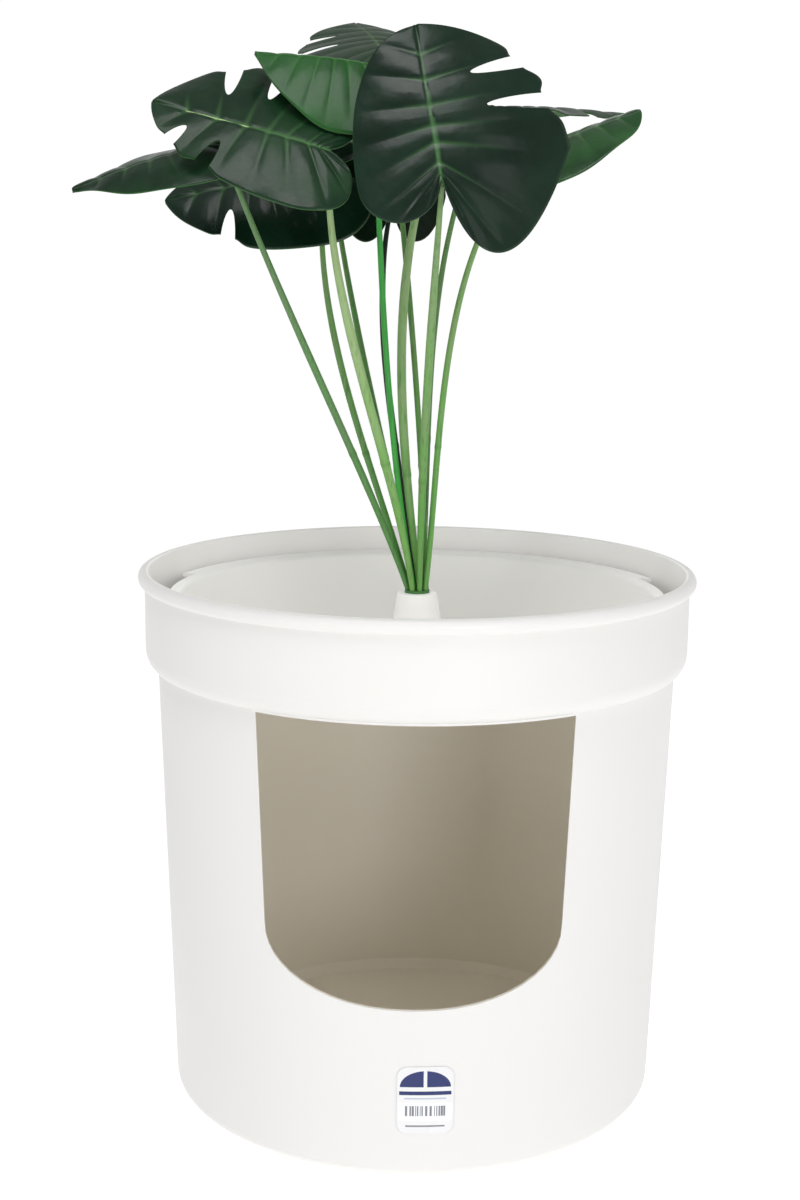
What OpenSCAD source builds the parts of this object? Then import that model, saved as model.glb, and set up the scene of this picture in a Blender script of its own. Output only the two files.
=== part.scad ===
// Round house planter: an outer pot with a doorway in its front wall, a tray that
// lifts out of its rim, and an artificial split-leaf plant plugged into the tray.
// Millimetres, +Z up. The origin is the middle of the pot's underside and the
// doorway faces -Y.

/* [Pot] */
// Height of the pot
pot_h = 460; // [380:1:560]
// Radius of the underside of the pot
base_r = 212.5; // [180:0.5:217]
// Radius of the body just under the rim band
body_top_r = 224; // [219:0.5:227]
// Outer radius of the rim band
band_r = 234.4; // [232:0.1:238]
// Height of the rim band with its rounded step
band_h = 82; // [70:1:95]
// Height of the rounded step under the band
step_h = 16; // [10:1:20]
// How far the lip bead stands proud of the band
lip_out = 5.6; // [3:0.1:8]
// Height of the lip bead
lip_h = 12; // [8:0.5:14]
// Wall of the pot
wall = 3.2; // [2:0.1:4]
// Thickness of the pot's floor
floor_t = 4; // [2:0.1:8]
// Radius of the rounded bottom edge
foot_round = 9; // [5:0.5:14]

/* [Doorway] */
// Width of the doorway at its top
door_top_w = 248; // [180:1:260]
// Width of the doorway where its lower curve starts
door_low_w = 236; // [170:1:250]
// Height of the sill above the ground
sill_z = 144; // [100:1:180]
// Height of the curved lower part of the doorway
door_curve_h = 61; // [40:1:90]
// Squareness of the lower curve, 2 is an ellipse
door_curve_n = 2.3; // [2:0.1:3]
// Wall left between the doorway and the rounded step
door_head = 2; // [1:0.5:10]

/* [Lift-out tray] */
// How far the tray's flange lies below the lip
tray_drop = 22; // [18:1:30]
// Outer radius of the flange
flange_r = 226; // [223:0.5:227]
// Inner radius of the tray at its mouth
tray_mouth_r = 204.5; // [196:0.5:208]
// Inner radius of the tray at its floor
tray_floor_r = 196; // [180:0.5:200]
// Depth of the tray from its flange to its floor
tray_depth = 67; // [55:1:90]
// Wall of the tray
tray_wall = 3; // [2:0.1:4]
// Half length of each hand gap in the flange
gap_half = 74; // [55:1:78]
// Width of the flange left beside a hand gap
gap_flange_w = 9.5; // [6:0.5:13]
// Number of ribs that carry the flange
rib_count = 8; // [6:1:12]
// Thickness of each rib
rib_t = 3; // [2:0.5:5]
// How far each rib stands in from the band
rib_in = 9; // [7:0.5:10]
// Gap between the ribs and the flange that they carry
seat_gap = 0.1; // [0.05:0.05:0.3]

/* [Plant socket] */
// Outer radius of the socket at its top
socket_r = 17.5; // [16:0.5:22]
// How much the socket widens for each millimetre down
socket_flare = 0.146; // [0.1:0.01:0.2]
// Wall of the socket's cone and of its well
socket_wall = 2.6; // [2:0.1:3]
// Radius of the well that holds the plug
well_r = 11; // [10:0.1:12]
// Depth of the well
well_depth = 63; // [40:1:70]
// Gap between the plug and the well all round
plug_gap = 0.3; // [0.2:0.05:0.5]
// How far the plug stands above the socket
plug_up = 2; // [1:0.5:6]

/* [Sticker] */
// Width of the sticker
sticker_w = 46; // [30:1:70]
// Height of the sticker
sticker_h = 58; // [30:1:80]
// Height of the sticker's middle above the ground
sticker_z = 68; // [50:1:90]
// Sideways place of the sticker
sticker_x = 11; // [-20:1:20]
// Corner radius of the sticker
sticker_corner = 9; // [4:1:14]
// Thickness of the sticker
sticker_t = 0.3; // [0.2:0.05:0.5]
// Thickness of the glue under the sticker
sticker_glue = 0.15; // [0.1:0.05:0.3]

/* [Plant] */
// Thickness of a leaf blade
blade_t = 1.2; // [0.8:0.1:1.6]
// Radius of a stem where it leaves the plug
stem_root_r = 2.4; // [2:0.1:2.5]
// Radius of a midrib where it meets its stem
midrib_r = 2; // [1.2:0.1:2.2]
// Gap between a midrib and the blade it backs
rib_gap = 0.4; // [0.2:0.1:0.8]
// How far each stem ends behind its leaf
stem_end_back = 7; // [6:0.5:9]

/* [Hidden] */

// Heights that the pot, the tray and the plant share
step_z = pot_h - band_h;
flange_z = pot_h - tray_drop;
tray_z = flange_z - tray_depth;
socket_z = flange_z - 1;
well_z = socket_z - well_depth;
plug_z = socket_z + plug_up;
door_top_z = step_z - door_head;

// Fine facets for the round mouldings
round_fn = 180;

// Where a stem leaves the plug: eight round the outside and three in the middle
outer_ring = well_r - 3;
inner_ring = 2.8;
function on_ring(r, a) = [r * cos(a), r * sin(a)];

// The plant is laid out from the middle of its plug's top, in millimetres.
// Each leaf: where its blade meets its stem; its yaw, pitch and roll in degrees; its
// length; the widths and the back lobes of its left and right halves; how full it is
// towards the tip; its droop, its fold; and where its left and right cuts lie
LEAVES = [
    [[15, -112, 344], [35, 73, -34], 129, [0.79, 1.28], [0.62, 1.35], 1.0, 0.15, 0.05, [], [0.625, 0.75]],
    [[36, 66, 433], [-30, 12, 0], 85, [0.85, 0.85], [1, 1], 0.4, 0.20, 0.12, [], [0.7]],
    [[-40, -34, 435], [90, 11, -30], 96, [0.92, 0.8], [0.9, 1], 0, 0.10, 0.45, [], []],
    [[-34, 64, 457], [16, 25, -1], 105, [1.05, 1.0], [1, 1], 0.8, 0.10, 0.08, [0.575, 0.725], [0.6, 0.75]],
    [[-88, 118, 397], [60, 0, 0], 100, [0.8, 0.8], [1, 1], 0.3, 0.15, 0.12, [0.7], []],
    [[-77, -74, 366], [83, 19, -48], 147, [0.62, 0.93], [0.62, 0.35], 0.8, 0.10, 0.08,
        [0.7, 0.825], [0.625, 0.75]],
    [[-88, 48, 356], [92, -8, -48], 136, [0.82, 0.50], [0.85, 0.8], 0.4, 0.10, 0.08, [0.725], [0.7]],
    [[-166, -42, 373], [96, -12, -24], 122, [0.58, 0.6], [1, 1], 0, 0.12, 0.20, [], []],
    [[-26, 66, 333], [2, 62, 0], 88, [0.9, 0.85], [1.2, 1.2], 0.3, 0.10, 0.10, [], []],
    [[86, 10, 369], [-92, 26, 20], 102, [0.70, 0.80], [1, 0.7], 0.8, 0.10, 0.20, [], []],
    [[62, 68, 413], [-75, 5, 3], 120, [0.70, 0.70], [1, 1], 0, 0.12, 0.10, [0.65], [0.6, 0.75]]
];

// Each stem: its place on the plug, its radius and the two points that pull its
// curve between the plug and its leaf
STEMS = [
    [on_ring(outer_ring, -75), 3.6, [2, -20, 121], [10, -66, 251]],
    [on_ring(inner_ring, -30), 4.0, [-14, -4, 121], [-40, 6, 301]],
    [on_ring(inner_ring, 210), 2.6, [-28, -8, 121], [-38, 10, 326]],
    [on_ring(outer_ring, 15), 2.6, [4, 14, 121], [-12, 32, 301]],
    [on_ring(outer_ring, 105), 2.8, [-30, 40, 121], [-70, 116, 261]],
    [on_ring(outer_ring, 240), 4.0, [-20, -30, 121], [-80, -66, 251]],
    [on_ring(outer_ring, 150), 3.0, [-46, 22, 121], [-98, 36, 241]],
    [on_ring(outer_ring, 195), 3.2, [-44, 2, 101], [-106, -30, 221]],
    [on_ring(inner_ring, 90), 3.2, [-20, 26, 121], [-46, 52, 241]],
    [on_ring(outer_ring, -30), 2.8, [20, -6, 121], [12, 4, 281]],
    [on_ring(outer_ring, 60), 2.6, [12, 22, 121], [-4, 58, 281]]
];

// The half outline of a leaf of length 1, from the notch at the stem round the
// back lobe to the widest point, and from there to the tip. A lobe over 1 reaches
// further back and keeps closer to the stem; a lobe under 1 is only shorter
function back_lobe(g) =
    [[0.004, -0.04], [0.10, -0.52 - 0.66 * g], [0.66 - 0.8 * g, -0.46 - 0.26 * g], [0.64, 0.12]];
function front_lobe(full) =
    [[0.64, 0.12], [0.63, 0.54], [0.28 + 0.17 * full, 0.84 + 0.11 * full], [0.012, 1]];
// How deep a cut between two fingers is, and its half width along the outline
cut_depth = 0.55;
cut_half = 0.025;

leaf_steps = 40;
leaf_cols = 3;
stem_steps = 13;
stem_sides = 8;
rib_steps = 10;
rib_sides = 6;

// A point on a cubic Bezier curve
function bezier(b, t) =
    pow(1 - t, 3) * b[0] + 3 * pow(1 - t, 2) * t * b[1] + 3 * (1 - t) * t * t * b[2] + t * t * t * b[3];

function unit(v) = v / norm(v);

// Turn a vector by roll about Y, then pitch about X, then yaw about Z
function roll_y(v, a) = [v.x * cos(a) + v.z * sin(a), v.y, -v.x * sin(a) + v.z * cos(a)];
function pitch_x(v, a) = [v.x, v.y * cos(a) - v.z * sin(a), v.y * sin(a) + v.z * cos(a)];
function yaw_z(v, a) = [v.x * cos(a) - v.y * sin(a), v.x * sin(a) + v.y * cos(a), v.z];
function turn(v, a) = yaw_z(pitch_x(roll_y(v, a[2]), a[1]), a[0]);

// A point of leaf k given in its own axes, in the plant's axes
function leaf_place(k, p) = LEAVES[k][0] + turn(p, LEAVES[k][1]);

function leaf_edge(s, lobe, full) =
    s < 0.5 ? bezier(back_lobe(max(0, lobe - 1)), 2 * s) : bezier(front_lobe(full), 2 * s - 1);
function leaf_mid(s) = s < 0.3 ? 0.2 * s : 0.06 + 0.94 * pow((s - 0.3) / 0.7, 1.3);
function cut_at(s, c) = 1 - cut_depth * max(0, 1 - abs(s - c) / cut_half);
function leaf_reach(s, cuts) = min([1, for (c = cuts) cut_at(s, c)]);

// Height of the blade over its own flat plane: it droops towards its tip, folds
// along its midrib and curls down at its sides
function leaf_height(leaf, x, y) = -leaf[6] * y * y - leaf[7] * abs(x) - 0.25 * x * x;

// A point of a blade: s runs along the outline, t from the left edge over the
// midrib to the right edge
function leaf_flat(leaf, s, t) =
    let (
        side = t < 0 ? 0 : 1,
        lobe = leaf[4][side],
        e = leaf_edge(s, lobe, leaf[5]),
        edge_y = e.y < 0 ? e.y * min(1, lobe) : e.y,
        r = leaf_reach(s, leaf[8 + side])
    )
    [e.x * t * r * leaf[3][side], leaf_mid(s) + (edge_y - leaf_mid(s)) * abs(t) * r];
function leaf_point(leaf, s, t, down) =
    let (p = leaf_flat(leaf, s, t))
    [p.x, p.y, leaf_height(leaf, p.x, p.y)] * leaf[2] - [0, 0, down];

// A closed sheet over a grid of rows x cols points, upper side then lower side
function sheet_faces(rows, cols) =
    let (
        n = rows * cols,
        rim = concat(
            [for (i = [0 : rows - 1]) i * cols],
            [for (k = [1 : cols - 1]) (rows - 1) * cols + k],
            [for (i = [rows - 2 : -1 : 0]) i * cols + cols - 1],
            [for (k = [cols - 2 : -1 : 1]) k]
        ),
        m = len(rim)
    )
    concat(
        [for (i = [0 : rows - 2]) for (k = [0 : cols - 2])
            let (a = i * cols + k) each [[a, a + cols, a + cols + 1], [a, a + cols + 1, a + 1]]],
        [for (i = [0 : rows - 2]) for (k = [0 : cols - 2])
            let (a = n + i * cols + k) each [[a, a + cols + 1, a + cols], [a, a + 1, a + cols + 1]]],
        [for (i = [0 : m - 1])
            let (a = rim[i], b = rim[(i + 1) % m]) each [[a, b + n, b], [a, a + n, b + n]]]
    );

// A tube through points, with a radius and a tangent for each of them
module tube(points, radii, tangents, sides) {
    rings = [for (i = [0 : len(points) - 1])
        let (u = unit(cross(tangents[i], [0, 1, 0])), v = cross(tangents[i], u))
        each [for (j = [0 : sides - 1])
            points[i] + radii[i] * (u * cos(360 * j / sides) + v * sin(360 * j / sides))]];
    last = (len(points) - 1) * sides;
    polyhedron(rings, concat(
        [[for (j = [sides - 1 : -1 : 0]) j]],
        [for (i = [0 : len(points) - 2]) for (j = [0 : sides - 1])
            let (a = i * sides + j, b = i * sides + (j + 1) % sides)
            each [[a, b, b + sides], [a, b + sides, a + sides]]],
        [[for (j = [0 : sides - 1]) last + j]]
    ));
}

// Where stem k ends, just behind its blade, and the way it points there
function stem_end(k) = leaf_place(k, [0, -0.03 * LEAVES[k][2], -stem_end_back]);
function stem_way(k) = unit(stem_end(k) - STEMS[k][3]);
function stem_curve(k) = [[STEMS[k][0].x, STEMS[k][0].y, 0], STEMS[k][2], STEMS[k][3], stem_end(k)];
function stem_radius(k, t) =
    stem_root_r + (STEMS[k][1] - stem_root_r) * min(1, t / 0.3)
    - (STEMS[k][1] - midrib_r) * max(0, (t - 0.6) / 0.4);
function way_along(p, i) = unit(p[i + 1] - p[i - 1]);

// Half profile of the pot, from the axis out along its underside and back inside
function foot_arc() = [for (a = [-90 : 15 : 0])
    [base_r - foot_round + foot_round * cos(a), foot_round + foot_round * sin(a)]];
function step_curve(r0, r1, z0) = [for (t = [0 : 0.125 : 1])
    [r0 + (r1 - r0) * sin(90 * t), z0 + step_h * (1 - cos(90 * t))]];
function lip_arc() = [for (a = [-90 : 18 : 90])
    [band_r + lip_out * cos(a), pot_h - lip_h / 2 + lip_h / 2 * sin(a)]];
function pot_profile() = concat(
    [[0, 0]],
    foot_arc(),
    step_curve(body_top_r, band_r, step_z),
    lip_arc(),
    [[band_r - wall + 1, pot_h], [band_r - wall, pot_h - 1]],
    [for (i = [8 : -1 : 0]) step_curve(body_top_r - wall, band_r - wall, step_z + wall)[i]],
    [[base_r - wall, foot_round + floor_t], [base_r - wall - 5, floor_t], [0, floor_t]]
);

// Outline of the doorway, seen from the front: straight sides that lean in and a
// lower part that follows a squared ellipse
function door_outline() = concat(
    [[-door_top_w / 2, door_top_z]],
    [for (a = [180 : 7.5 : 360])
        [door_low_w / 2 * sign(cos(a)) * pow(abs(cos(a)), 2 / door_curve_n),
         sill_z + door_curve_h - door_curve_h * pow(abs(sin(a)), 2 / door_curve_n)]],
    [[door_top_w / 2, door_top_z]]
);

module pot_shell() {
    rib_low = step_z + wall + step_h / 2 + 4;
    rib_top = flange_z - tray_wall - seat_gap;
    color("#efeeea")
    difference() {
        union() {
            rotate_extrude($fn = round_fn) polygon(pot_profile());
            for (i = [0 : rib_count - 1])
                rotate([0, 0, (i + 0.5) * 360 / rib_count])
                translate([band_r - wall - rib_in, -rib_t / 2, rib_low])
                cube([rib_in + wall / 2, rib_t, rib_top - rib_low]);
        }
        rotate([90, 0, 0])
        linear_extrude(height = band_r + 20) polygon(door_outline());
    }
}

// Half profile of the tray with the plant's socket standing up from its floor
function socket_out(z) = socket_r + (socket_z - z) * socket_flare;
function tray_profile() = [
    [0, well_z], [well_r, well_z], [well_r, socket_z - 0.8], [well_r + 0.8, socket_z],
    [socket_r - 2, socket_z], [socket_r - 0.6, socket_z - 0.6], [socket_r, socket_z - 2],
    [socket_out(tray_z + 4), tray_z + 4], [socket_out(tray_z + 1) + 1, tray_z + 1],
    [socket_out(tray_z) + 4, tray_z],
    [tray_floor_r - 6, tray_z], [tray_floor_r - 1.5, tray_z + 1.5], [tray_floor_r, tray_z + 6],
    [tray_mouth_r, flange_z - 3], [tray_mouth_r + 1, flange_z - 1], [tray_mouth_r + 3, flange_z],
    [flange_r - 1, flange_z], [flange_r, flange_z - 1], [flange_r, flange_z - tray_wall],
    [tray_mouth_r + tray_wall, flange_z - tray_wall],
    [tray_floor_r + tray_wall, tray_z + 5], [tray_floor_r, tray_z - tray_wall + 1],
    [tray_floor_r - 4, tray_z - tray_wall],
    [socket_out(tray_z) - socket_wall, tray_z - tray_wall],
    [socket_r - socket_wall + 0.8, socket_z - 4], [well_r + socket_wall, socket_z - 4],
    [well_r + socket_wall, well_z - socket_wall], [0, well_z - socket_wall]
];

module lift_out_tray() {
    inner = tray_mouth_r + gap_flange_w;
    color("#eeede9")
    difference() {
        rotate_extrude($fn = round_fn) polygon(tray_profile());
        for (side = [0, 180])
            rotate([0, 0, side])
            difference() {
                translate([inner - 40, -gap_half, flange_z - tray_wall - 1])
                    cube([flange_r - inner + 60, 2 * gap_half, tray_wall + 2]);
                translate([0, 0, flange_z - tray_wall - 2])
                    cylinder(r = inner, h = tray_wall + 4, $fn = round_fn);
            }
    }
}

module rounded_plate(w, h, r) {
    square([w - 2 * r, h], center = true);
    square([w, h - 2 * r], center = true);
    for (x = [-1, 1])
        for (y = [-1, 1])
            translate([x * (w / 2 - r), y * (h / 2 - r)]) circle(r = r, $fn = 48);
}

// Radius of the pot's outer face at a height
function body_r(z) = base_r + (body_top_r - base_r) * (z - foot_round) / (step_z - foot_round);

module label_sticker() {
    z0 = sticker_z - sticker_h / 2 - 5;
    z1 = sticker_z + sticker_h / 2 + 5;
    color("#e9ebef")
    intersection() {
        rotate_extrude($fn = round_fn) polygon([
            [body_r(z0) + sticker_glue, z0], [body_r(z0) + sticker_glue + sticker_t, z0],
            [body_r(z1) + sticker_glue + sticker_t, z1], [body_r(z1) + sticker_glue, z1]
        ]);
        translate([sticker_x, 0, sticker_z])
            rotate([90, 0, 0])
            linear_extrude(height = band_r + 20) rounded_plate(sticker_w, sticker_h, sticker_corner);
    }
}

module root_plug() {
    color("#2f6b35")
    translate([0, 0, well_z])
        cylinder(r = well_r - plug_gap, h = plug_z - well_z, $fn = 96);
}

module stem(k) {
    p = [for (i = [0 : stem_steps]) bezier(stem_curve(k), i / stem_steps)];
    r = [for (i = [0 : stem_steps]) stem_radius(k, i / stem_steps)];
    w = concat([[0, 0, 1]], [for (i = [1 : stem_steps - 1]) way_along(p, i)], [stem_way(k)]);
    color("#4f9a4b")
    translate([0, 0, plug_z])
        tube(p, r, w, stem_sides);
}

// The neck that carries on from the stem and the midrib that backs the blade
module leaf_rib(k) {
    leaf = LEAVES[k];
    under = blade_t + rib_gap + midrib_r;
    start = stem_end(k);
    neck = leaf_place(k, [0, 0.12 * leaf[2], leaf_height(leaf, 0, 0.12) * leaf[2] - under - 0.6]);
    pull = start + stem_way(k) * 4;
    p = concat(
        [start, start * 0.25 + pull * 0.5 + neck * 0.25, neck],
        [for (i = [1 : rib_steps - 3])
            let (y = 0.12 + 0.68 * i / (rib_steps - 3))
            leaf_place(k, [0, y * leaf[2], leaf_height(leaf, 0, y) * leaf[2] - under])]
    );
    n = len(p);
    r = [for (i = [0 : n - 1]) midrib_r * (1 - 0.65 * i / (n - 1))];
    w = concat([stem_way(k)], [for (i = [1 : n - 2]) way_along(p, i)], [unit(p[n - 1] - p[n - 2])]);
    color("#6fb45a")
    translate([0, 0, plug_z])
        tube(p, r, w, rib_sides);
}

module leaf_blade(k) {
    cols = 2 * leaf_cols + 1;
    function side(down) = [for (i = [0 : leaf_steps]) for (j = [-leaf_cols : leaf_cols])
        leaf_place(k, leaf_point(LEAVES[k], i / leaf_steps, j / leaf_cols, down))];
    color("#24502f")
    translate([0, 0, plug_z])
        polyhedron(concat(side(0), side(blade_t)), sheet_faces(leaf_steps + 1, cols));
}

// Two figures for the number of a piece
function two_figures(k) = k < 9 ? str("0", k + 1) : str(k + 1);

pot_shell();
lift_out_tray();
label_sticker();
root_plug();
for (k = [0 : len(LEAVES) - 1]) {
    stem(k);
    leaf_rib(k);
    leaf_blade(k);
}
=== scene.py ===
"""The look of a round house planter: an off-white pot with a doorway in its front
wall, a tray that lifts out from under its lip, and an artificial split-leaf plant
that is plugged into the tray. Everything is in metres, in the frame of the CAD model:
+Z up, the doorway faces -Y, the origin is the middle of the pot's underside."""
import math

import bpy
import numpy as np
from mathutils import Matrix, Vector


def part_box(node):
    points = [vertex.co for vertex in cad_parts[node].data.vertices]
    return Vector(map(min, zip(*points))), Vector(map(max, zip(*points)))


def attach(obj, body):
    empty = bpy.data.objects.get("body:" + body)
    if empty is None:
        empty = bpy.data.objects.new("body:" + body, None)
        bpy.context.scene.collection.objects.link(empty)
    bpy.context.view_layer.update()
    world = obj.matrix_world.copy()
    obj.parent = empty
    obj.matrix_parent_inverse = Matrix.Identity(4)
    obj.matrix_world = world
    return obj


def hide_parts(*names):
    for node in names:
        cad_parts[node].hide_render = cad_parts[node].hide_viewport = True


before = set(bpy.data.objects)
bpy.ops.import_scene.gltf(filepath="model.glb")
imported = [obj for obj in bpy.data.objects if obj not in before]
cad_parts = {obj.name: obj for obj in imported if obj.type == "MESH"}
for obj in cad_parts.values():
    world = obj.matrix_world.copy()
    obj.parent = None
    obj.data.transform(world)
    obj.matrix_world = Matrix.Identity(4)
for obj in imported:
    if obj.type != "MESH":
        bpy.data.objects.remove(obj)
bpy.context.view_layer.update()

# ---------------------------------------------------------------- camera
# Eye height is a little above the middle of the planter, three rim widths in front
# of it, looking slightly down.
eye = bpy.data.cameras.new("eye")
eye.sensor_width = 36.0
eye.lens = 52.64
eye.shift_x = -0.0142
camera = bpy.data.objects.new("camera", eye)
look_down = math.radians(90.0 - 10.886)
lean = 0.0115
camera.matrix_world = (
    Matrix.Translation((0.0, -1.5014, 0.7184))
    @ Matrix.Rotation(look_down, 4, "X")
    @ Matrix.Rotation(lean, 4, "Z")
)
bpy.context.scene.collection.objects.link(camera)
bpy.context.scene.camera = camera

# ---------------------------------------------------------------- studio
# A white room: the wall behind the planter is plain white, the room in front of it and
# overhead is dimmer and darker to the left, one large soft lamp stands high on the
# right, and a white floor runs up to the wall.
scene = bpy.context.scene
scene.view_settings.view_transform = "Standard"
sky = bpy.data.worlds.new("white_room")
sky.use_nodes = True
sky_nodes, sky_links = sky.node_tree.nodes, sky.node_tree.links
compass = sky_nodes.new("ShaderNodeTexCoord")
split = sky_nodes.new("ShaderNodeSeparateXYZ")
sky_links.new(compass.outputs["Generated"], split.inputs["Vector"])


def ramp_between(tree, source, low, high, value_low, value_high, shape="SMOOTHSTEP"):
    """A value that goes from value_low to value_high while source goes from low to
    high, eased at both ends unless shape is LINEAR, and stays level outside that."""
    step = tree.nodes.new("ShaderNodeMapRange")
    step.interpolation_type = shape
    step.inputs["From Min"].default_value = low
    step.inputs["From Max"].default_value = high
    step.inputs["To Min"].default_value = value_low
    step.inputs["To Max"].default_value = value_high
    tree.links.new(source, step.inputs["Value"])
    return step.outputs["Result"]


def combine(tree, operation, *values):
    """One Math node on one or two values; each is a socket or a number."""
    node = tree.nodes.new("ShaderNodeMath")
    node.operation = operation
    for socket, value in zip(node.inputs, values):
        if isinstance(value, (int, float)):
            socket.default_value = value
        else:
            tree.links.new(value, socket)
    return node.outputs["Value"]


def squared(tree, value):
    """A value times itself."""
    return combine(tree, "MULTIPLY", value, value)


room = ramp_between(sky.node_tree, split.outputs["X"], -0.9, 0.9, 0.36, 0.50)
behind = ramp_between(sky.node_tree, split.outputs["Y"], 0.15, 0.6, 0.0, 1.0)
level = ramp_between(sky.node_tree, split.outputs["Z"], 0.22, 0.5, 1.0, 0.25)
wall_part = combine(sky.node_tree, "MULTIPLY", behind, level)
wall_more = combine(sky.node_tree, "SUBTRACT", 1.02, room)
lit = combine(sky.node_tree, "ADD", room, combine(sky.node_tree, "MULTIPLY", wall_part, wall_more))
sky_links.new(lit, sky_nodes["Background"].inputs["Strength"])
sky_nodes["Background"].inputs["Color"].default_value = (1.0, 1.0, 1.0, 1.0)
scene.world = sky


def soft_lamp(name, place, aim, size, power):
    """A square area lamp at a place, turned so that its face looks at aim."""
    light = bpy.data.lights.new(name, "AREA")
    light.size = size
    light.energy = power
    lamp = bpy.data.objects.new(name, light)
    away = np.array(place, float) - np.array(aim, float)
    yaw = math.atan2(away[1], away[0]) + math.pi / 2
    tilt = math.acos(away[2] / np.linalg.norm(away))
    lamp.matrix_world = (
        Matrix.Translation(place) @ Matrix.Rotation(yaw, 4, "Z") @ Matrix.Rotation(tilt, 4, "X")
    )
    scene.collection.objects.link(lamp)
    return lamp


soft_lamp("key_lamp", (1.1, -2.1, 1.7), (0.0, 0.0, 0.45), 0.9, 4.0)
soft_lamp("low_lamp", (0.55, -1.75, 0.5), (0.0, 0.0, 0.3), 0.45, 5.5)
soft_lamp("left_lamp", (-1.0, -1.6, 0.6), (0.0, 0.0, 0.3), 0.35, 1.8)
soft_lamp("top_lamp", (-0.3, -0.9, 2.3), (0.0, 0.1, 0.44), 0.9, 16.0)

floor_mesh = bpy.data.meshes.new("studio_floor")
reach = 12.0
floor_mesh.from_pydata(
    [(-reach, -reach, -0.001), (reach, -reach, -0.001), (reach, reach, -0.001), (-reach, reach, -0.001)],
    [], [(0, 1, 2, 3)],
)
studio_floor = bpy.data.objects.new("studio_floor", floor_mesh)
scene.collection.objects.link(studio_floor)
paper = bpy.data.materials.new("studio_paper")
paper.use_nodes = True
paper_skin = paper.node_tree.nodes["Principled BSDF"]
paper_skin.inputs["Base Color"].default_value = (0.6, 0.6, 0.6, 1.0)
paper_skin.inputs["Roughness"].default_value = 0.9
paper_skin.inputs["Specular IOR Level"].default_value = 0.0
paper_skin.inputs["Emission Color"].default_value = (1.0, 1.0, 1.0, 1.0)
paper_skin.inputs["Emission Strength"].default_value = 0.72
floor_mesh.materials.append(paper)


# ---------------------------------------------------------------- pot shell
# The pot is one injection moulding in off-white polypropylene, about 3 mm thick. Its
# skin has a faint spark-eroded grain and slow sink marks. Inside, below the tray, the
# cabin wall is painted lighter and warmer, painted bounce light standing in for the
# light there that has come off the plastic before; above the tray the inner wall glows
# faintly, painted light standing in for daylight through the thin wall from outside.
MM = 0.001


def moulded_plastic(name, colour, warm, rough, grain):
    """Off-white moulded plastic: slow colour drift, fine grain and slow waves in the
    bump, and patches of slightly different gloss, from noise on Object coordinates."""
    material = bpy.data.materials.new(name)
    material.use_nodes = True
    nodes, links = material.node_tree.nodes, material.node_tree.links
    skin = nodes["Principled BSDF"]
    place = nodes.new("ShaderNodeTexCoord")
    drift = nodes.new("ShaderNodeTexNoise")
    drift.name = "drift"
    drift.inputs["Scale"].default_value = 5.0
    drift.inputs["Detail"].default_value = 3.0
    links.new(place.outputs["Object"], drift.inputs["Vector"])
    tint = nodes.new("ShaderNodeMix")
    tint.name = "tint"
    tint.data_type = "RGBA"
    tint.inputs["A"].default_value = (*colour, 1.0)
    tint.inputs["B"].default_value = (*warm, 1.0)
    links.new(drift.outputs["Fac"], tint.inputs["Factor"])
    links.new(tint.outputs["Result"], skin.inputs["Base Color"])
    links.new(
        ramp_between(material.node_tree, drift.outputs["Fac"], 0.3, 0.7, rough - 0.04, rough + 0.05),
        skin.inputs["Roughness"],
    )
    speck = nodes.new("ShaderNodeTexNoise")
    speck.inputs["Scale"].default_value = grain
    speck.inputs["Detail"].default_value = 2.0
    links.new(place.outputs["Object"], speck.inputs["Vector"])
    bump = nodes.new("ShaderNodeBump")
    bump.inputs["Strength"].default_value = 0.06
    bump.inputs["Distance"].default_value = 0.0004
    links.new(speck.outputs["Fac"], bump.inputs["Height"])
    slow = nodes.new("ShaderNodeBump")
    slow.inputs["Strength"].default_value = 0.25
    slow.inputs["Distance"].default_value = 0.002
    links.new(drift.outputs["Fac"], slow.inputs["Height"])
    links.new(bump.outputs["Normal"], slow.inputs["Normal"])
    links.new(slow.outputs["Normal"], skin.inputs["Normal"])
    skin.inputs["Specular IOR Level"].default_value = 0.4
    return material


def repaint(node, material):
    """Give a CAD node a material in place of all its own."""
    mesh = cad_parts[node].data
    mesh.materials.clear()
    mesh.materials.append(material)


pot_plastic = moulded_plastic("pot_plastic", (0.80, 0.793, 0.78), (0.785, 0.775, 0.757), 0.42, 900.0)
pot_tree = pot_plastic.node_tree
pot_place = pot_tree.nodes.new("ShaderNodeTexCoord")
pot_split = pot_tree.nodes.new("ShaderNodeSeparateXYZ")
pot_tree.links.new(pot_place.outputs["Object"], pot_split.inputs["Vector"])
# the pot's own sizes in mm, from its axis and its underside
foot_round = 9.0
floor_t = 4.0
wall = 3.2
base_r = 212.5
body_top_r = 224.0
band_out = 10.4
step_z = 378.0
step_h = 16.0
tray_under_z = 368.0
flange_z = 438.0
pot_height = pot_split.outputs["Z"]
across = combine(pot_tree, "SQRT", combine(
    pot_tree, "ADD",
    squared(pot_tree, pot_split.outputs["X"]),
    squared(pot_tree, pot_split.outputs["Y"]),
))
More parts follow.
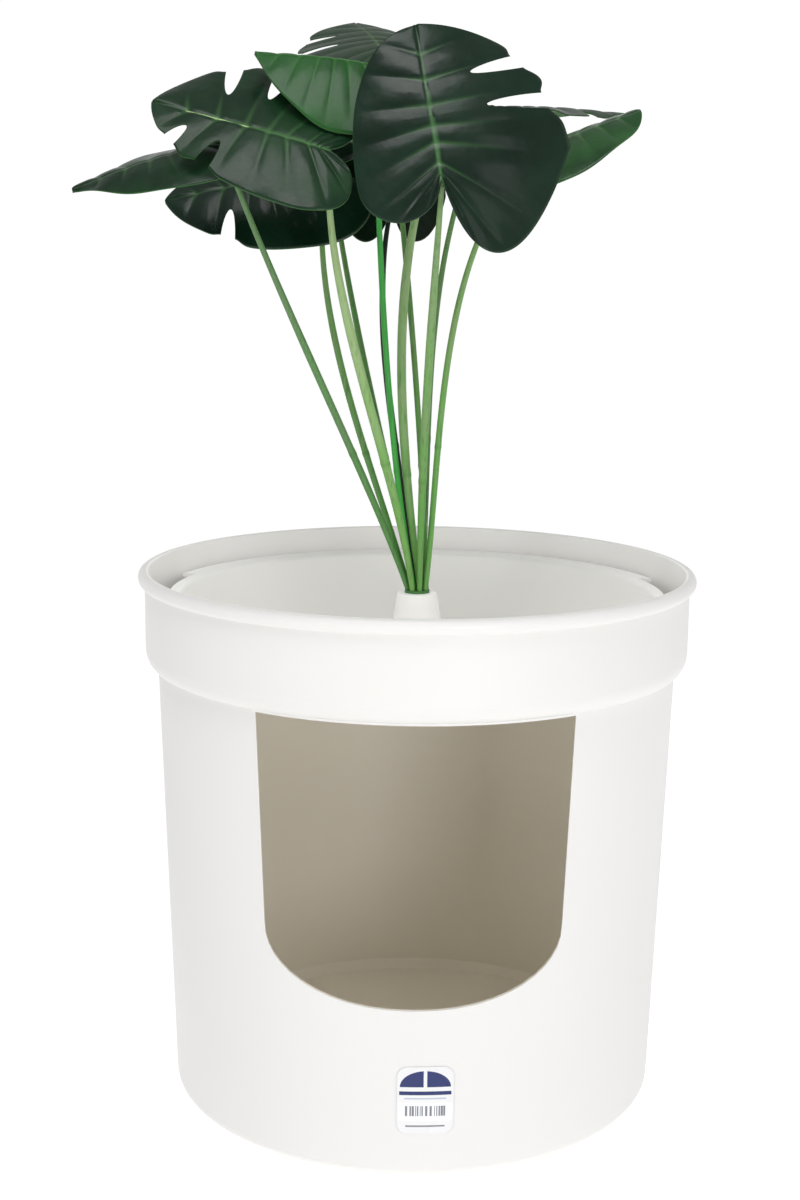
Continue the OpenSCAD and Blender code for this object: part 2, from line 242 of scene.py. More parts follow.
# the middle of the wall: a straight taper up to the step, then a quarter curve out
wall_middle = ramp_between(pot_tree, pot_height, foot_round * MM, step_z * MM,
                           (base_r - wall / 2) * MM, (body_top_r - wall / 2) * MM, "LINEAR")
short_of_band = ramp_between(pot_tree, pot_height, (step_z + wall / 2) * MM,
                             (step_z + wall / 2 + step_h) * MM, 1.0, 0.0, "LINEAR")
bow = combine(pot_tree, "SQRT", combine(pot_tree, "SUBTRACT", 1.0, squared(pot_tree, short_of_band)))
wall_middle = combine(pot_tree, "ADD", wall_middle, combine(pot_tree, "MULTIPLY", bow, band_out * MM))
inward = combine(pot_tree, "SUBTRACT", wall_middle, across)
inside = ramp_between(pot_tree, inward, -1.0 * MM, 1.0 * MM, 0.0, 1.0)
below_tray = ramp_between(pot_tree, pot_height, (tray_under_z - 2) * MM, (tray_under_z + 12) * MM, 1.0, 0.0)
above_floor = ramp_between(pot_tree, pot_height, (floor_t - 1) * MM, (floor_t - 0.3) * MM, 0.0, 1.0)
in_cabin = combine(pot_tree, "MULTIPLY", inside, combine(pot_tree, "MULTIPLY", below_tray, above_floor))
# painted bounce light: below the tray the inside wall is coloured lighter and warmer than the pot's own
# plastic
cabin_painted_bounce = pot_tree.nodes.new("ShaderNodeMix")
cabin_painted_bounce.data_type = "RGBA"
cabin_painted_bounce.inputs["B"].default_value = (0.92, 0.87, 0.765, 1.0)
pot_tree.links.new(in_cabin, cabin_painted_bounce.inputs["Factor"])
pot_tree.links.new(pot_tree.nodes["tint"].outputs["Result"], cabin_painted_bounce.inputs["A"])
pot_tree.links.new(cabin_painted_bounce.outputs["Result"], pot_tree.nodes["Principled BSDF"].inputs["Base Color"])
# painted light: above the tray the inside wall glows faintly through its emission, standing in for daylight
# through the thin wall
painted_glow_above_tray = 0.16
above_tray = ramp_between(pot_tree, pot_height, (flange_z - 13) * MM, (flange_z + 2) * MM,
                          0.0, painted_glow_above_tray)
pot_tree.links.new(combine(pot_tree, "MULTIPLY", inside, above_tray),
                   pot_tree.nodes["Principled BSDF"].inputs["Emission Strength"])
pot_skin = pot_tree.nodes["Principled BSDF"]
pot_skin.inputs["Emission Color"].default_value = (1.0, 0.975, 0.945, 1.0)
repaint("pot_shell", pot_plastic)

# ---------------------------------------------------------------- lift-out tray
# The tray is a second moulding in the same plastic, slightly glossier inside where
# the tool was polished. It is coloured lighter than the pot, painted light where it sits
# in the pot's shade, and it glows faintly all over, painted light standing in for light
# through its thin walls.
# painted light: the tray's colour is lighter than the pot's plastic, to brighten it in the pot's shade
tray_plastic = moulded_plastic("tray_plastic", (0.93, 0.92, 0.90), (0.91, 0.90, 0.87), 0.34, 900.0)
tray_skin = tray_plastic.node_tree.nodes["Principled BSDF"]
# painted light: the tray glows faintly all over, standing in for light through its thin walls
tray_skin.inputs["Emission Color"].default_value = (1.0, 0.97, 0.94, 1.0)
tray_skin.inputs["Emission Strength"].default_value = 0.09
repaint("lift_out_tray", tray_plastic)

# ---------------------------------------------------------------- sticker
# A printed film with rounded corners, stuck to the pot's lower front and bent to its
# round wall. It carries a navy mark, a rule, a white panel with grey bars of no
# meaning and two thin lines, with no lettering.
sticker_low, sticker_high = (np.array(corner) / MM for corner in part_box("label_sticker"))
sticker_w, sticker_h = (sticker_high - sticker_low)[[0, 2]]
sticker_x, sticker_z = ((sticker_high + sticker_low) / 2)[[0, 2]]
sticker_corner = 9.0


def pot_face(z):
    """Radius of the pot's tapered outer face at a height, in mm."""
    return base_r + (body_top_r - base_r) * (z - foot_round) / (step_z - foot_round)


rise = np.linspace(0.0, 1.0, 61)
up = np.cos((1 - rise) * math.pi)
into_corner = np.clip(np.abs(up) * sticker_h / 2 - sticker_h / 2 + sticker_corner, 0, None)
inset = sticker_corner - np.sqrt(np.clip(sticker_corner**2 - into_corner**2, 0, None))
half_width = sticker_w / 2 - inset
across_steps = np.linspace(-1.0, 1.0, 33)
sticker_px = sticker_x + half_width[:, None] * across_steps[None, :]
sticker_pz = (sticker_z + up * sticker_h / 2)[:, None] + 0 * sticker_px
film_gap = 0.2
film_thickness = 0.2

def closed_sheet(name, upper, lower, fields):
    """A closed sheet between two grids of points: the upper face, the lower face and
    the rim between them. Upper faces take material 0, the rest take material 1 if there
    is one. Each field is a value for every grid point, kept as a mesh attribute."""
    rows, cols = upper.shape[:2]
    n = rows * cols
    index = np.arange(n).reshape(rows, cols)
    a, b, c, d = index[:-1, :-1], index[1:, :-1], index[1:, 1:], index[:-1, 1:]
    top = np.stack([a, d, c, b], -1).reshape(-1, 4)
    bottom = np.stack([a, b, c, d], -1).reshape(-1, 4) + n
    rim = np.concatenate([index[:, 0], index[-1, 1:], index[-2::-1, -1], index[0, -2:0:-1]])
    after = np.roll(rim, -1)
    side = np.stack([rim, after, after + n, rim + n], -1)
    faces = np.concatenate([top, bottom, side])
    points = np.concatenate([upper.reshape(-1, 3), lower.reshape(-1, 3)])
    mesh = bpy.data.meshes.new(name)
    mesh.from_pydata((points * MM).tolist(), [], faces.tolist())
    counts = [len(top), len(bottom), len(side)]
    mesh.polygons.foreach_set("material_index", np.repeat([0, 1, 1], counts))
    mesh.polygons.foreach_set("use_smooth", np.repeat([True, True, False], counts))
    for field, values in fields.items():
        layer = mesh.attributes.new(field, "FLOAT", "POINT")
        layer.data.foreach_set("value", np.tile(values.reshape(-1), 2).astype(np.float32))
    mesh.update()
    piece = bpy.data.objects.new(name, mesh)
    scene.collection.objects.link(piece)
    return piece


layers = []
for lift in (film_gap + film_thickness, film_gap):
    around = pot_face(sticker_pz) + lift
    layers.append(np.stack([sticker_px, -np.sqrt(around**2 - sticker_px**2), sticker_pz], -1))
sticker = closed_sheet("sticker", layers[0], layers[1], {
    "u": (sticker_px - sticker_x) / sticker_w + 0.5, "v": (sticker_pz - sticker_z) / sticker_h + 0.5})
film = moulded_plastic("sticker_print", (0.81, 0.81, 0.815), (0.80, 0.80, 0.81), 0.26, 1500.0)
film_tree = film.node_tree


def attribute_value(tree, name):
    """The value of a named mesh attribute."""
    node = tree.nodes.new("ShaderNodeAttribute")
    node.attribute_name = name
    return node.outputs["Fac"]


def in_band(tree, value, middle, half):
    """1 where value is within half of middle, else 0."""
    off = combine(tree, "ABSOLUTE", combine(tree, "SUBTRACT", value, middle))
    return combine(tree, "LESS_THAN", off, half)


def printed(tree, under, mask, colour):
    """One ink over what is printed already, where mask is 1."""
    ink = tree.nodes.new("ShaderNodeMix")
    ink.data_type = "RGBA"
    ink.inputs["B"].default_value = (*colour, 1.0)
    tree.links.new(under, ink.inputs["A"])
    tree.links.new(mask, ink.inputs["Factor"])
    return ink.outputs["Result"]


film_u, film_v = attribute_value(film_tree, "u"), attribute_value(film_tree, "v")
NAVY = (0.022, 0.035, 0.14)
PALE_NAVY = (0.45, 0.50, 0.60)
GREY = (0.22, 0.22, 0.25)
WHITE = (0.86, 0.87, 0.90)
mark_low = 0.70
mark_x = combine(film_tree, "DIVIDE", combine(film_tree, "SUBTRACT", film_u, 0.5), 0.44)
mark_y = combine(film_tree, "DIVIDE", combine(film_tree, "SUBTRACT", film_v, mark_low), 0.24)
oval = combine(film_tree, "ADD", squared(film_tree, mark_x), squared(film_tree, mark_y))
mark = combine(film_tree, "MULTIPLY", combine(film_tree, "LESS_THAN", oval, 1.0),
               combine(film_tree, "GREATER_THAN", film_v, mark_low))
mark_gap = combine(film_tree, "SUBTRACT", 1.0, in_band(film_tree, film_u, 0.5, 0.03))
inks = film_tree.nodes["tint"].outputs["Result"]
inks = printed(film_tree, inks, combine(film_tree, "MULTIPLY", mark, mark_gap), NAVY)
stripes = film_tree.nodes.new("ShaderNodeTexNoise")
stripes.noise_dimensions = "1D"
stripes.inputs["Scale"].default_value = 26.0
stripes.inputs["Detail"].default_value = 0.0
film_tree.links.new(film_u, stripes.inputs["W"])
striped = combine(film_tree, "GREATER_THAN", stripes.outputs["Fac"], 0.5)
# each printed block: the middle of its height, half its height, half its width, its ink
# and whether it is broken into bars
BLOCKS = [
    (0.61, 0.028, 0.45, NAVY, False),
    (0.53, 0.010, 0.36, PALE_NAVY, False),
    (0.33, 0.135, 0.46, WHITE, False),
    (0.345, 0.075, 0.38, GREY, True),
    (0.12, 0.012, 0.34, GREY, False),
]
for middle, half_height, half_across, ink, in_bars in BLOCKS:
    block = combine(film_tree, "MULTIPLY", in_band(film_tree, film_v, middle, half_height),
                    in_band(film_tree, film_u, 0.5, half_across))
    if in_bars:
        block = combine(film_tree, "MULTIPLY", block, striped)
    inks = printed(film_tree, inks, block, ink)
film_tree.links.new(inks, film_tree.nodes["Principled BSDF"].inputs["Base Color"])
sticker.data.materials.append(film)
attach(sticker, "pot")
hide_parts("label_sticker")

# ---------------------------------------------------------------- leaf blades
# Each blade is a coated fabric leaf, cut to shape and pressed so that its side veins
# sink in and the skin between them swells. The upper face is dark and glossy, the
# lower face is paler and dull. The blades are glued to the midribs behind them.
plug_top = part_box("root_plug")[1][2] / MM
# where each blade meets its stem, over the middle of the plug's top; its yaw, pitch
# and roll in degrees; its length; the widths and the back lobes of its left and right
# halves; how full it is towards the tip; its droop, its fold; where its left and right
# cuts lie; and which of the leaf colours it has
LEAVES = [
    ((15, -112, 344), (35, 73, -34), 129, (0.79, 1.28), (0.62, 1.35),
        1.0, 0.15, 0.05, (), (0.625, 0.75), "deep"),
    ((36, 66, 433), (-30, 12, 0), 85, (0.85, 0.85), (1, 1), 0.4, 0.20, 0.12, (), (0.7,), "deep"),
    ((-40, -34, 435), (90, 11, -30), 96, (0.92, 0.8), (0.9, 1), 0, 0.10, 0.45, (), (), "bright"),
    ((-34, 64, 457), (16, 25, -1), 105, (1.05, 1.0), (1, 1),
        0.8, 0.10, 0.08, (0.575, 0.725), (0.6, 0.75), "olive"),
    ((-88, 118, 397), (60, 0, 0), 100, (0.8, 0.8), (1, 1), 0.3, 0.15, 0.12, (0.7,), (), "deep"),
    ((-77, -74, 366), (83, 19, -48), 147, (0.62, 0.93), (0.62, 0.35),
        0.8, 0.10, 0.08, (0.7, 0.825), (0.625, 0.75), "mid"),
    ((-88, 48, 356), (92, -8, -48), 136, (0.82, 0.50), (0.85, 0.8),
        0.4, 0.10, 0.08, (0.725,), (0.7,), "deep"),
    ((-166, -42, 373), (96, -12, -24), 122, (0.58, 0.6), (1, 1), 0, 0.12, 0.20, (), (), "mid"),
    # painted shade: this leaf takes the near-black finish for the shade it hangs in
    ((-26, 66, 333), (2, 62, 0), 88, (0.9, 0.85), (1.2, 1.2), 0.3, 0.10, 0.10, (), (), "painted_shade_black"),
    ((86, 10, 369), (-92, 26, 20), 102, (0.70, 0.80), (1, 0.7), 0.8, 0.10, 0.20, (), (), "fresh"),
    ((62, 68, 413), (-75, 5, 3), 120, (0.70, 0.70), (1, 1), 0, 0.12, 0.10, (0.65,), (0.6, 0.75), "olive"),
]
VEINS = (0.12, 0.24, 0.36, 0.48, 0.565, 0.66, 0.77, 0.88)
CUT_DEPTH = 0.55
CUT_HALF = 0.0225


def bezier(points, t):
    """Points on a cubic Bezier curve at the values t."""
    points = np.asarray(points, float)
    t = np.asarray(t, float)[..., None]
    return (
        (1 - t) ** 3 * points[0] + 3 * (1 - t) ** 2 * t * points[1]
        + 3 * (1 - t) * t * t * points[2] + t**3 * points[3]
    )


def turning(angles):
    """The matrix that rolls about Y, then pitches about X, then yaws about Z."""
    yaw, pitch, roll = (math.radians(a) for a in angles)
    return np.array(
        Matrix.Rotation(yaw, 3, "Z") @ Matrix.Rotation(pitch, 3, "X") @ Matrix.Rotation(roll, 3, "Y")
    )


def leaf_height(leaf, x, y):
    """How far a blade lies over its own flat plane: it droops with the square of the
    way along, folds with the distance from the midrib and curls with its square."""
    return -leaf[6] * y * y - leaf[7] * np.abs(x) - 0.25 * x * x


def half_outline(s, lobe, full):
    """The edge of one half of a leaf of length 1, from the notch at the stem round the
    back lobe to the widest point, and from there to the tip. A lobe over 1 reaches
    further back and keeps closer to the stem; a lobe under 1 is only shorter."""
    g = max(0.0, lobe - 1)
    back = bezier(
        [(0.004, -0.04), (0.10, -0.52 - 0.66 * g), (0.66 - 0.8 * g, -0.46 - 0.26 * g), (0.64, 0.12)],
        np.minimum(2 * s, 1),
    )
    front = bezier([(0.64, 0.12), (0.63, 0.54), (0.28 + 0.17 * full, 0.84 + 0.11 * full), (0.012, 1)],
                   np.maximum(2 * s - 1, 0))
    edge = np.where((s < 0.5)[:, None], back, front)
    edge[:, 1] = np.where(edge[:, 1] < 0, edge[:, 1] * min(1, lobe), edge[:, 1])
    return edge


def cut_reach(s, cuts):
    """How far a half reaches along each line of s: less inside a cut, which ends in a
    round, and a little less beside it, where the two fingers have round corners."""
    reach = np.ones_like(s)
    for c in cuts:
        off = np.abs(s - c)
        inside = np.sqrt(np.clip(1 - (off / CUT_HALF) ** 2, 0, 1))
        corner = 0.07 * np.exp(-((np.maximum(off - CUT_HALF, 0) / 0.022) ** 2))
        reach = np.minimum(reach, 1 - corner - (CUT_DEPTH - 0.07) * inside)
    return reach


def leaf_grid(leaf, seed):
    """A blade's upper face as a grid. s runs along the half outline from the notch to
    the tip and t from the left edge over the midrib to the right edge. Lines of one s
    run along the side veins, which sink in; the skin swells between them, and the edge
    waves slowly up and down."""
    s = np.linspace(0.0, 1.0, 201)
    around = np.sin(np.linspace(-math.pi / 2, math.pi / 2, 21))
    s = np.unique(np.concatenate([s] + [c + CUT_HALF * around for c in leaf[8] + leaf[9]]))
    s = s[np.concatenate([[True], np.diff(s) > 1e-4])]
    s[-1] = 1.0
    t = np.linspace(-1.0, 1.0, 57)
    left = (t < 0)[None, :]
    edges = [half_outline(s, leaf[4][side], leaf[5]) for side in (0, 1)]
    reach = np.where(left, cut_reach(s, leaf[8])[:, None], cut_reach(s, leaf[9])[:, None])
    edge_x = np.where(left, edges[0][:, :1] * leaf[3][0], edges[1][:, :1] * leaf[3][1])
    edge_y = np.where(left, edges[0][:, 1:], edges[1][:, 1:])
    middle = np.where(s < 0.3, 0.2 * s, 0.06 + 0.94 * np.maximum((s - 0.3) / 0.7, 0) ** 1.3)[:, None]
    far = np.abs(t)[None, :] * reach
    x = edge_x * np.sign(t)[None, :] * far
    y = middle + (edge_y - middle) * far
    z = leaf_height(leaf, x, y)
    near_vein = np.min([np.abs(s - v) for v in VEINS], axis=0)[:, None] * (0.3 + far)
    groove = np.exp(-((near_vein / 0.006) ** 2)) * np.clip(1.1 - 1.3 * far, 0, 1)
    swell = (1 - np.exp(-((near_vein / 0.020) ** 2))) * np.sin(np.clip(far, 0, 1) * math.pi) ** 0.8
    draw = np.random.default_rng(seed)
    phase = draw.uniform(0, 6.28, 4)
    side = np.sign(t)[None, :]
    wave = (
        np.sin(s[:, None] * 13.0 + phase[0] + side * 1.7) + 0.6 * np.sin(s[:, None] * 24.0 + phase[1] - side)
    ) * far**3
    broad = np.sin(x * 5.0 + phase[2]) * np.sin(y * 4.0 + phase[3])
    midrib = np.exp(-((x / 0.012) ** 2)) * (s[:, None] > 0.01)
    z = z + 0.007 * swell - 0.005 * groove + 0.013 * wave + 0.014 * broad - 0.006 * midrib
    thin = np.exp(-((near_vein / 0.0035) ** 2)) * np.clip(1.0 - 1.8 * far, 0, 1)
    rib_line = np.exp(-((x / (0.008 - 0.004 * y)) ** 2)) * np.clip(1.10 - 0.9 * y, 0, 1)
    return np.stack([x, y, z], -1) * leaf[2], thin + 0 * z, np.clip(rib_line, 0, 1) + 0 * z, far + 0 * z


def leaf_skin(name, dark, light, vein_colour, rough, coat):
    """Coated leaf skin: dark green with cloudy lighter patches, pale along the midrib,
    faintly paler along the side veins, thin at the very edge, with a fine pressed grain
    and patchy gloss."""
    material = bpy.data.materials.new(name)
    material.use_nodes = True
    tree = material.node_tree
    nodes, links = tree.nodes, tree.links
    skin = nodes["Principled BSDF"]
    place = nodes.new("ShaderNodeTexCoord")
    cloud = nodes.new("ShaderNodeTexNoise")
    cloud.inputs["Scale"].default_value = 24.0
    cloud.inputs["Detail"].default_value = 4.0
    links.new(place.outputs["Object"], cloud.inputs["Vector"])
    patches = nodes.new("ShaderNodeValToRGB")
    patches.color_ramp.elements[0].position = 0.35
    patches.color_ramp.elements[0].color = (*dark, 1.0)
    patches.color_ramp.elements[1].position = 0.72
    patches.color_ramp.elements[1].color = (*light, 1.0)
    links.new(cloud.outputs["Fac"], patches.inputs["Fac"])
    colour = printed(tree, patches.outputs["Color"],
                     combine(tree, "MULTIPLY", attribute_value(tree, "vein"), 0.45), vein_colour)
    colour = printed(tree, colour, attribute_value(tree, "midrib"), vein_colour)
    edge = ramp_between(tree, attribute_value(tree, "edge"), 0.97, 1.0, 0.0, 0.12)
    colour = printed(tree, colour, edge, vein_colour)
    links.new(colour, skin.inputs["Base Color"])
    links.new(ramp_between(tree, cloud.outputs["Fac"], 0.3, 0.7, rough - 0.06, rough + 0.10),
              skin.inputs["Roughness"])
    grain = nodes.new("ShaderNodeTexNoise")
    grain.inputs["Scale"].default_value = 420.0
    grain.inputs["Detail"].default_value = 3.0
    links.new(place.outputs["Object"], grain.inputs["Vector"])
    bump = nodes.new("ShaderNodeBump")
    bump.inputs["Strength"].default_value = 0.15
    bump.inputs["Distance"].default_value = 0.0005
    links.new(grain.outputs["Fac"], bump.inputs["Height"])
    crease = nodes.new("ShaderNodeTexNoise")
    crease.inputs["Scale"].default_value = 55.0
    crease.inputs["Detail"].default_value = 2.0
    links.new(place.outputs["Object"], crease.inputs["Vector"])
    dents = nodes.new("ShaderNodeBump")
    dents.inputs["Strength"].default_value = 0.35
    dents.inputs["Distance"].default_value = 0.003
    links.new(crease.outputs["Fac"], dents.inputs["Height"])
    links.new(bump.outputs["Normal"], dents.inputs["Normal"])
    links.new(dents.outputs["Normal"], skin.inputs["Normal"])
    skin.inputs["Coat Weight"].default_value = coat
    skin.inputs["Coat Roughness"].default_value = 0.16
    skin.inputs["Specular IOR Level"].default_value = 0.17
    return material


PALE_VEIN = (0.06, 0.16, 0.05)
# each leaf colour: dark and light patches, veins, roughness and coat
FINISHES = {
    "deep": ((0.0022, 0.012, 0.006), (0.004, 0.022, 0.010), PALE_VEIN, 0.36, 0.16),
    "mid": ((0.003, 0.019, 0.007), (0.007, 0.038, 0.011), PALE_VEIN, 0.38, 0.14),
    "bright": ((0.006, 0.055, 0.008), (0.016, 0.105, 0.016), (0.04, 0.17, 0.03), 0.40, 0.14),
    "olive": ((0.006, 0.026, 0.010), (0.016, 0.048, 0.018), (0.06, 0.13, 0.04), 0.44, 0.12),
    "fresh": ((0.005, 0.035, 0.008), (0.020, 0.095, 0.020), (0.10, 0.25, 0.07), 0.36, 0.20),
    # painted shade: the darkest finish, for the leaf that hangs in shade behind the front leaf
    "painted_shade_black": ((0.003, 0.008, 0.004), (0.004, 0.014, 0.006), (0.02, 0.05, 0.02), 0.40, 0.15),
}
UPPER = {name: leaf_skin(f"{name}_leaf", *finish) for name, finish in FINISHES.items()}
leaf_back = leaf_skin("leaf_back", (0.020, 0.070, 0.020), (0.040, 0.12, 0.035), (0.10, 0.22, 0.07), 0.5, 0.0)
blade_thickness = 0.9
for k, leaf in enumerate(LEAVES):
    grid, vein_field, rib_field, far_field = leaf_grid(leaf, 40 + k)
    turn = turning(leaf[1])
    placed = grid @ turn.T + np.array(leaf[0], float) + (0, 0, plug_top)
    blade = closed_sheet(f"blade_{k + 1:02d}", placed, placed - turn[:, 2] * blade_thickness,
                         {"vein": vein_field, "midrib": rib_field, "edge": far_field})
    blade.data.materials.append(UPPER[leaf[10]])
    blade.data.materials.append(leaf_back)
    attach(blade, "plant")
    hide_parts(f"leaf_blade_{k + 1:02d}")

# ---------------------------------------------------------------- stems
# Each stem is soft green plastic moulded over a wire. It is thin where it leaves the
# plug, thickens over the first third, has a faint joint a hand's width up, and thins
# again towards its leaf.
# each stem's place on the plug as ring radius and angle, its radius, the two points
# that pull its curve, and its colour low down and high up
STEMS = [
    (8, -75, 3.6, (2, -20, 121), (10, -66, 251), (0.14, 0.36, 0.08), (0.20, 0.33, 0.13)),
    (2.8, -30, 4.0, (-14, -4, 121), (-40, 6, 301), (0.17, 0.39, 0.10), (0.30, 0.44, 0.20)),
    (2.8, 210, 2.6, (-28, -8, 121), (-38, 10, 326), (0.05, 0.38, 0.05), (0.04, 0.34, 0.05)),
    (8, 15, 2.6, (4, 14, 121), (-12, 32, 301), (0.10, 0.28, 0.06), (0.13, 0.26, 0.08)),
    (8, 105, 2.8, (-30, 40, 121), (-70, 116, 251), (0.08, 0.27, 0.06), (0.12, 0.26, 0.08)),
    (8, 240, 4.0, (-20, -30, 121), (-80, -66, 251), (0.18, 0.41, 0.10), (0.30, 0.43, 0.19)),
    (8, 150, 3.0, (-46, 22, 121), (-98, 36, 241), (0.11, 0.31, 0.07), (0.17, 0.32, 0.11)),
    (8, 195, 3.2, (-44, 2, 101), (-106, -30, 221), (0.10, 0.27, 0.07), (0.12, 0.24, 0.09)),
    # painted shade: this stem and its midrib are coloured near black for the shade they stand in behind the
    # front leaf
    (2.8, 90, 3.2, (-20, 26, 121), (-46, 52, 241), (0.010, 0.035, 0.012), (0.008, 0.020, 0.010)),
    (8, -30, 2.8, (20, -6, 121), (12, 4, 281), (0.14, 0.38, 0.08), (0.20, 0.36, 0.12)),
    (8, 60, 2.6, (12, 22, 121), (-4, 58, 281), (0.08, 0.25, 0.06), (0.12, 0.24, 0.08)),
]
STEM_ROOT = 2.4
MIDRIB = 2.0
BEHIND = 7.0


def closed_tube(name, points, radii, sides, fields):
    """A round tube through points: each ring stands square to the line there, carried
    on from ring to ring without twist. Both ends are closed with a domed cap."""
    way = np.gradient(points, axis=0)
    way /= np.linalg.norm(way, axis=1)[:, None]
    across = [np.cross(way[0], (0.0, 1.0, 0.0))]
    for w in way[1:]:
        across.append(across[-1] - w * np.dot(across[-1], w))
    across = np.array(across)
    across /= np.linalg.norm(across, axis=1)[:, None]
    over = np.cross(way, across)
    angle = np.arange(sides) * 2 * math.pi / sides
    ring = np.cos(angle)[None, :, None] * across[:, None, :] + np.sin(angle)[None, :, None] * over[:, None, :]
    skin = points[:, None, :] + ring * radii[:, None, None]
    n = len(points)
    index = np.arange(n * sides).reshape(n, sides)
    after = np.roll(index, -1, axis=1)
    quads = np.stack([index[:-1], after[:-1], after[1:], index[1:]], -1).reshape(-1, 4).tolist()
    first, last = n * sides, n * sides + 1
    caps = [(first, int(b), int(a)) for a, b in zip(index[0], after[0])]
    caps += [(last, int(a), int(b)) for a, b in zip(index[-1], after[-1])]
    ends = np.array([points[0] - way[0] * radii[0] * 0.3, points[-1] + way[-1] * radii[-1] * 0.3])
    mesh = bpy.data.meshes.new(name)
    mesh.from_pydata((np.concatenate([skin.reshape(-1, 3), ends]) * MM).tolist(), [], quads + caps)
    mesh.polygons.foreach_set("use_smooth", np.ones(len(mesh.polygons), bool))
    for field, values in fields.items():
        layer = mesh.attributes.new(field, "FLOAT", "POINT")
        whole = np.concatenate([np.repeat(values, sides), values[:1], values[-1:]])
        layer.data.foreach_set("value", whole.astype(np.float32))
    mesh.update()
    piece = bpy.data.objects.new(name, mesh)
    scene.collection.objects.link(piece)
    return piece


def stem_skin(name, low, high, rough):
    """Soft moulded plastic that goes from one green low down to another high up, with
    long streaks along the stem, faint blotches, and a fine grain."""
    material = bpy.data.materials.new(name)
    material.use_nodes = True
    tree = material.node_tree
    nodes, links = tree.nodes, tree.links
    skin = nodes["Principled BSDF"]
    place = nodes.new("ShaderNodeTexCoord")
    stretch = nodes.new("ShaderNodeMapping")
    stretch.inputs["Scale"].default_value = (1.0, 1.0, 0.06)
    links.new(place.outputs["Object"], stretch.inputs["Vector"])
    streak = nodes.new("ShaderNodeTexNoise")
    streak.inputs["Scale"].default_value = 420.0
    streak.inputs["Detail"].default_value = 3.0
    links.new(stretch.outputs["Vector"], streak.inputs["Vector"])
    blotch = nodes.new("ShaderNodeTexNoise")
    blotch.inputs["Scale"].default_value = 26.0
    blotch.inputs["Detail"].default_value = 3.0
    links.new(place.outputs["Object"], blotch.inputs["Vector"])
    climb = combine(tree, "ADD", attribute_value(tree, "along"),
                    ramp_between(tree, blotch.outputs["Fac"], 0.3, 0.7, -0.18, 0.18))
    base = nodes.new("ShaderNodeMix")
    base.data_type = "RGBA"
    base.inputs["A"].default_value = (*low, 1.0)
    base.inputs["B"].default_value = (*high, 1.0)
    links.new(ramp_between(tree, climb, 0.05, 0.75, 0.0, 1.0), base.inputs["Factor"])
    darker = tuple(c * 0.55 for c in low)
    colour = printed(tree, base.outputs["Result"],
                     ramp_between(tree, streak.outputs["Fac"], 0.52, 0.72, 0.0, 0.55), darker)
    colour = printed(tree, colour, attribute_value(tree, "joint"), tuple(c * 0.8 for c in low))
    links.new(colour, skin.inputs["Base Color"])
    links.new(ramp_between(tree, streak.outputs["Fac"], 0.3, 0.7, rough - 0.06, rough + 0.08),
              skin.inputs["Roughness"])
    bump = nodes.new("ShaderNodeBump")
    bump.inputs["Strength"].default_value = 0.3
    bump.inputs["Distance"].default_value = 0.0004
    links.new(streak.outputs["Fac"], bump.inputs["Height"])
    links.new(bump.outputs["Normal"], skin.inputs["Normal"])
    skin.inputs["Specular IOR Level"].default_value = 0.35
    return material


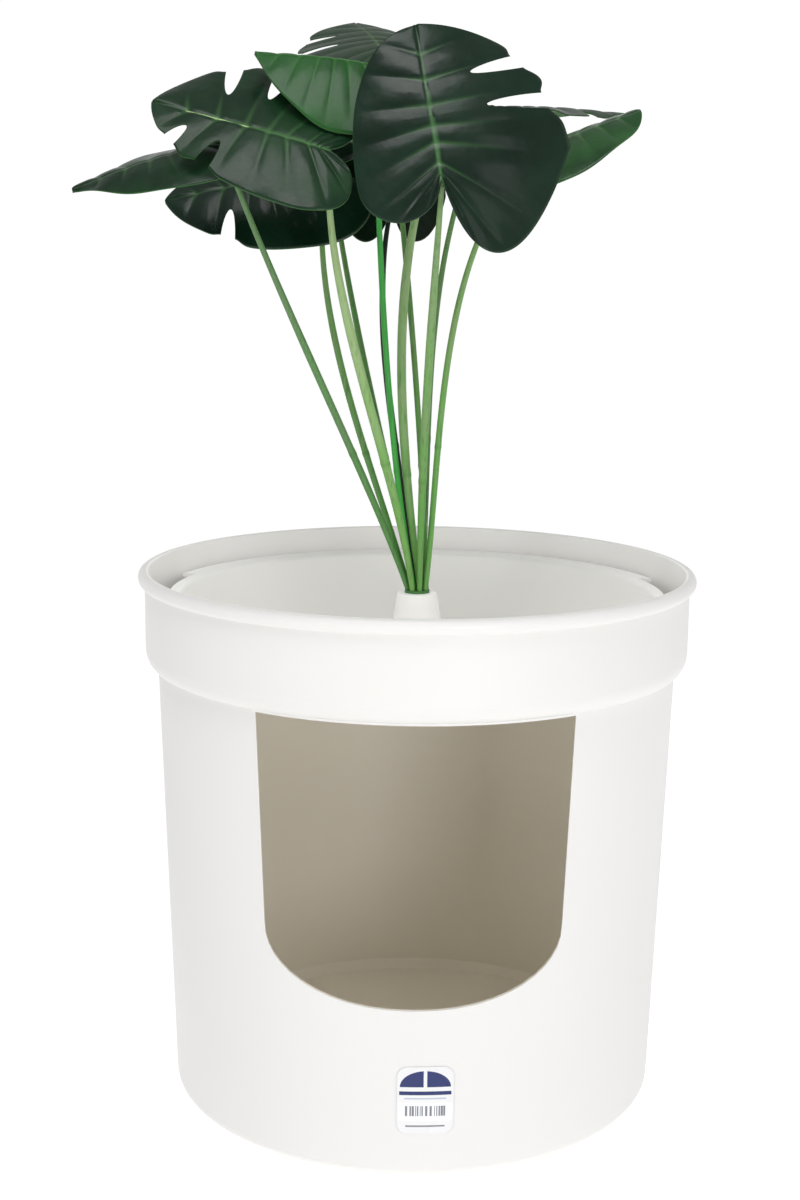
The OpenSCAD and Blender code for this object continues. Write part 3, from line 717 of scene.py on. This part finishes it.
for k, (leaf, stem) in enumerate(zip(LEAVES, STEMS)):
    ring_r, ring_a, thick, pull_low, pull_high, low, high = stem
    turn = turning(leaf[1])
    top = np.array(leaf[0], float) + turn @ (0, -0.03 * leaf[2], -BEHIND)
    root = (ring_r * math.cos(math.radians(ring_a)), ring_r * math.sin(math.radians(ring_a)), 0)
    t = np.linspace(0, 1, 141)
    line = bezier([root, pull_low, pull_high, top], t)
    swelling = (thick - STEM_ROOT) * np.minimum(1, t / 0.3)
    thinning = (thick - MIDRIB) * np.maximum(0, (t - 0.6) / 0.4)
    radius = STEM_ROOT + swelling - thinning
    joint = np.exp(-(((line[:, 2] - 98 - 3 * k) / 2.2) ** 2))
    radius = radius * (0.97 + 0.12 * joint)
    line[:, 2] += plug_top
    stalk = closed_tube(f"stalk_{k + 1:02d}", line, radius, 20, {"along": t, "joint": joint})
    stalk.data.materials.append(stem_skin(f"stem_green_{k + 1:02d}", low, high, 0.46))
    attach(stalk, "plant")
    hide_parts(f"stem_{k + 1:02d}")

# ---------------------------------------------------------------- necks and midribs
# Where a stem meets its leaf, a short neck bends round under the blade and runs on as
# the midrib that backs it, tapering to a point before the tip.
for k, (leaf, stem) in enumerate(zip(LEAVES, STEMS)):
    turn = turning(leaf[1])
    corner = np.array(leaf[0], float)
    top = corner + turn @ (0, -0.03 * leaf[2], -BEHIND)
    way = top - np.array(stem[4], float)
    way /= np.linalg.norm(way)
    under = 1.2 + 0.4 + MIDRIB
    along = np.linspace(0.12, 0.80, 8)
    backing = [corner + turn @ (0, y * leaf[2], leaf_height(leaf, 0, y) * leaf[2] - under) for y in along]
    backing[0] = backing[0] - turn[:, 2] * 0.6
    bend = top * 0.25 + (top + way * 4) * 0.5 + backing[0] * 0.25
    marks = np.array([top, bend] + backing)
    ends = np.concatenate([[2 * marks[0] - marks[1]], marks, [2 * marks[-1] - marks[-2]]])
    spans = [
        0.5 * (2 * ends[i + 1] + (ends[i + 2] - ends[i]) * u
               + (2 * ends[i] - 5 * ends[i + 1] + 4 * ends[i + 2] - ends[i + 3]) * u**2
               + (3 * ends[i + 1] - ends[i] - 3 * ends[i + 2] + ends[i + 3]) * u**3)
        for i in range(len(marks) - 1) for u in np.linspace(0, 1, 6)[:-1]
    ]
    line = np.array(spans + [marks[-1]])
    share = np.linspace(0, 1, len(line))
    line[:, 2] += plug_top
    midrib = closed_tube(f"midrib_{k + 1:02d}", line, MIDRIB * (1 - 0.65 * share), 16,
                         {"along": 1 - share * 0.4, "joint": 0 * share})
    midrib.data.materials.append(stem_skin(f"midrib_green_{k + 1:02d}", stem[5], stem[6], 0.46))
    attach(midrib, "plant")
    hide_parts(f"leaf_rib_{k + 1:02d}")

# ---------------------------------------------------------------- root plug
# The stems are moulded into a green plug that stands in the tray's socket.
plug_material = moulded_plastic("plug_green", (0.06, 0.17, 0.05), (0.09, 0.24, 0.07), 0.5, 500.0)
repaint("root_plug", plug_material)
